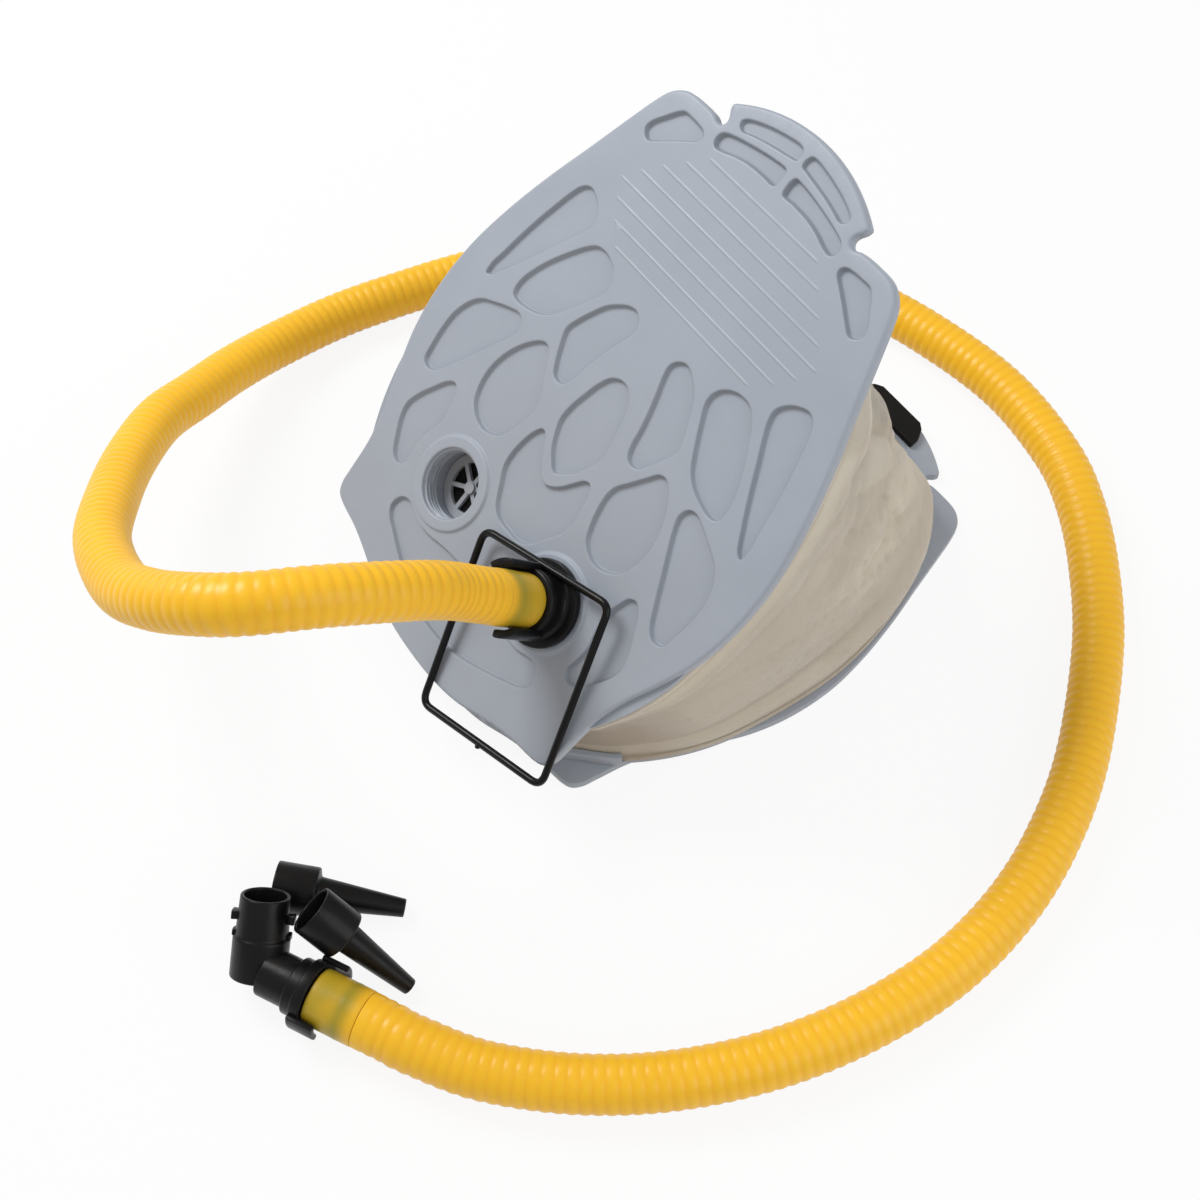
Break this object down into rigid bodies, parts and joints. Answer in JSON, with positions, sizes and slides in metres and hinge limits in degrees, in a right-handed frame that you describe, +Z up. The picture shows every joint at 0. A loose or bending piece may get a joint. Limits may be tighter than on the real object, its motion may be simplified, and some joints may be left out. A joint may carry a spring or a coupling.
{
  "type": "bellows foot air pump with hose",
  "caption": "Wedge bellows foot air pump: two hinged plates with fabric bellows and return spring, inlet and outlet valves, ribbed air hose, angled hose end, wire loop and loose nozzles.",
  "frame": {"origin": "middle of the bottom plate's underside, on the floor", "axes": "+X from the hinge to the tab end, +Y along the hinge pin, +Z up"},
  "size_m": [0.5178, 0.5084, 0.2361],
  "materials": {
    "plate_plastic": "light blue-grey moulded plastic, satin",
    "inner_plastic": "grey moulded plastic",
    "coated_fabric": "beige coated fabric",
    "black_plastic": "black moulded plastic",
    "black_rubber": "black rubber",
    "yellow_vinyl": "yellow flexible vinyl",
    "olive_vinyl": "yellow vinyl over a black fitting, looks olive",
    "steel": "plain steel",
    "black_wire": "black painted wire"
  },
  "bodies": {
    "base": {"bottom_plate": "plate_plastic", "bellows_clamp_bottom": "inner_plastic", "bellows": "coated_fabric", "hinge_pin": "steel", "pin_cap_left": "black_rubber", "pin_cap_right": "black_rubber", "base_screw_1": "steel", "base_screw_2": "steel", "base_screw_3": "steel", "base_screw_4": "steel", "base_screw_5": "steel", "base_screw_6": "steel", "base_screw_7": "steel", "base_screw_8": "steel", "return_spring": "steel", "spring_seat_bottom": "inner_plastic", "tab_bumper": "black_rubber", "air_hose": "yellow_vinyl", "hose_cuff_far_end": "olive_vinyl", "hose_end_elbow": "black_plastic", "taper_nozzle": "black_plastic", "slim_nozzle": "black_plastic"},
    "lid": {"top_plate": "plate_plastic", "bellows_clamp_top": "inner_plastic", "lid_screw_1": "steel", "lid_screw_2": "steel", "lid_screw_3": "steel", "lid_screw_4": "steel", "lid_screw_5": "steel", "lid_screw_6": "steel", "lid_screw_7": "steel", "lid_screw_8": "steel", "spring_seat_top": "inner_plastic", "inlet_valve_seat": "inner_plastic", "outlet_valve_seat": "inner_plastic", "inlet_flap_stud": "inner_plastic", "outlet_flap_stud": "inner_plastic"},
    "connector": {"hose_connector": "black_plastic", "connector_seal": "black_rubber", "hose_cuff_pump_end": "olive_vinyl"},
    "bail": {"lock_bail": "black_wire"},
    "inlet_valve": {"inlet_flap": "black_rubber"},
    "outlet_valve": {"outlet_flap": "black_rubber"}
  },
  "joints": [
    {"name": "lid_hinge", "type": "hinge", "parent": "base", "child": "lid", "pos_m": [-0.14, 0, 0.018], "axis": [0, 1, 0], "range_deg": [0, 42], "stiffness_Nm_per_rad": 6, "springref_deg": -20.05, "deforming": ["bellows", "return_spring"]},
    {"name": "connector_twist", "type": "hinge", "parent": "lid", "child": "connector", "pos_m": [-0.09557, -0.041, 0.06196], "axis": [-0.7034, 0, 0.7108], "range_deg": [-60, 0]},
    {"name": "bail_swing", "type": "hinge", "parent": "lid", "child": "bail", "pos_m": [-0.10307, -0.03152, 0.08958], "axis": [-0.2137, 0.9537, -0.2115], "range_deg": [0, 55]},
    {"name": "inlet_lift", "type": "slide", "parent": "lid", "child": "inlet_valve", "axis": [0.7034, 0, -0.7108], "range_m": [0, 0.002], "stiffness_N_per_m": 20, "springref_m": -0.0006},
    {"name": "outlet_lift", "type": "slide", "parent": "lid", "child": "outlet_valve", "axis": [-0.7034, 0, 0.7108], "range_m": [0, 0.002], "stiffness_N_per_m": 20, "springref_m": -0.0006}
  ]
}
